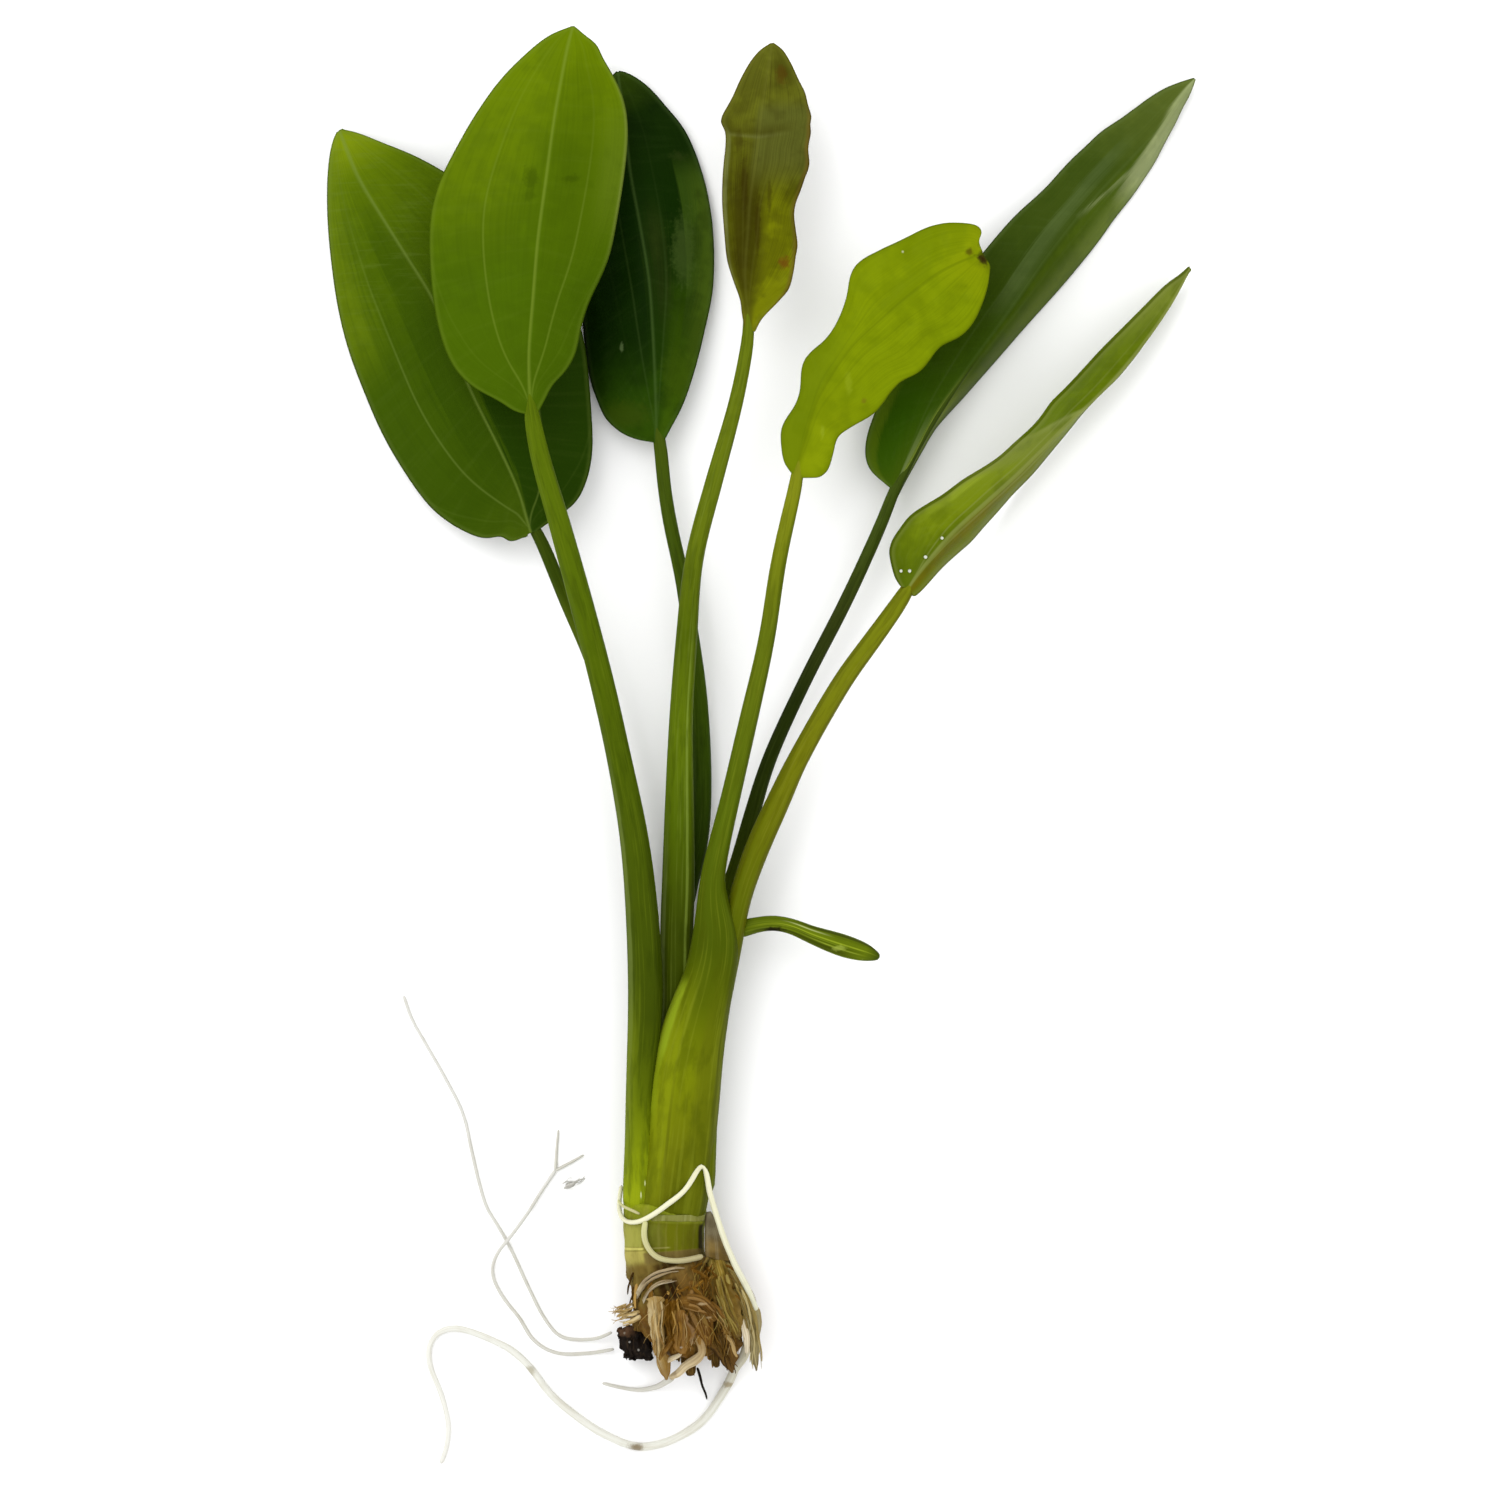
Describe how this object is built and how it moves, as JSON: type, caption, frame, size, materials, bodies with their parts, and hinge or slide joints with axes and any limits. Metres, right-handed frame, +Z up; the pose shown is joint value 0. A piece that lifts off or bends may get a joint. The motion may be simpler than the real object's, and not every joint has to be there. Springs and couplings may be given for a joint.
{
  "type": "echinodorus plant",
  "caption": "Bare-root sword plant laid flat: open leaves on long stems, one rolled young leaf, a crown with cut root ends, and long pale roots trailing on the surface.",
  "frame": {"origin": "on the surface that the plant lies on, under the middle of the plant's bounding box", "axes": "+Z up from the surface, +Y from the roots towards the leaf tips, +X to the right of the plant seen from above"},
  "size_m": [0.1738, 0.2858, 0.025],
  "materials": {
    "bright_leaf": "satin leaf skin, yellow-green, with fine paler veins",
    "deep_leaf": "satin leaf skin, dark green, with fine paler veins",
    "bronze_leaf": "satin leaf skin, brownish olive to yellow-green",
    "stem": "satin, finely ribbed along its length",
    "crown": "satin, pale green and olive sheaths over brown rootstock",
    "dry_sheath": "matte, papery, grey-brown",
    "root_stub": "matte, fibrous, tan to dark brown",
    "white_root": "satin, wet, ivory to tan",
    "soil": "matte, crumbly, black"
  },
  "bodies": {
    "root": {"bright_leaf_blade": "bright_leaf", "bright_leaf_stem": "stem", "yellow_leaf_blade": "bright_leaf", "yellow_leaf_stem": "stem", "slim_leaf_blade": "bright_leaf", "slim_leaf_stem": "stem", "left_leaf_blade": "deep_leaf", "left_leaf_stem": "stem", "dark_leaf_blade": "deep_leaf", "dark_leaf_stem": "stem", "right_leaf_blade": "deep_leaf", "right_leaf_stem": "stem", "bronze_leaf_blade": "bronze_leaf", "bronze_leaf_stem": "stem", "young_leaf": "bright_leaf", "crown": "crown", "dry_sheath": "dry_sheath", "dark_clump": "soil", "dark_fibre": "soil", "root_skin_flake": "white_root", "long_root": "white_root", "upper_side_root": "white_root", "lower_side_root": "white_root", "side_root_upright_twig": "white_root", "side_root_end_twig": "white_root", "short_floor_root": "white_root", "wrapping_root": "white_root", "looping_root": "white_root", "stub_left_curl": "root_stub", "stub_centre_left": "root_stub", "stub_centre": "root_stub", "stub_right_centre": "root_stub", "stub_right_outer": "root_stub", "stub_dark_strip": "root_stub", "stub_right_inner": "root_stub", "stub_left_frayed": "root_stub", "stub_left": "root_stub", "stub_pale_cross": "root_stub", "stub_inner_centre": "root_stub", "stub_inner_left": "root_stub", "stub_inner_right": "root_stub", "stub_floor_left": "root_stub", "stub_floor_centre": "root_stub", "stub_floor_right": "root_stub", "stub_floor_outer": "root_stub"}
  },
  "joints": []
}
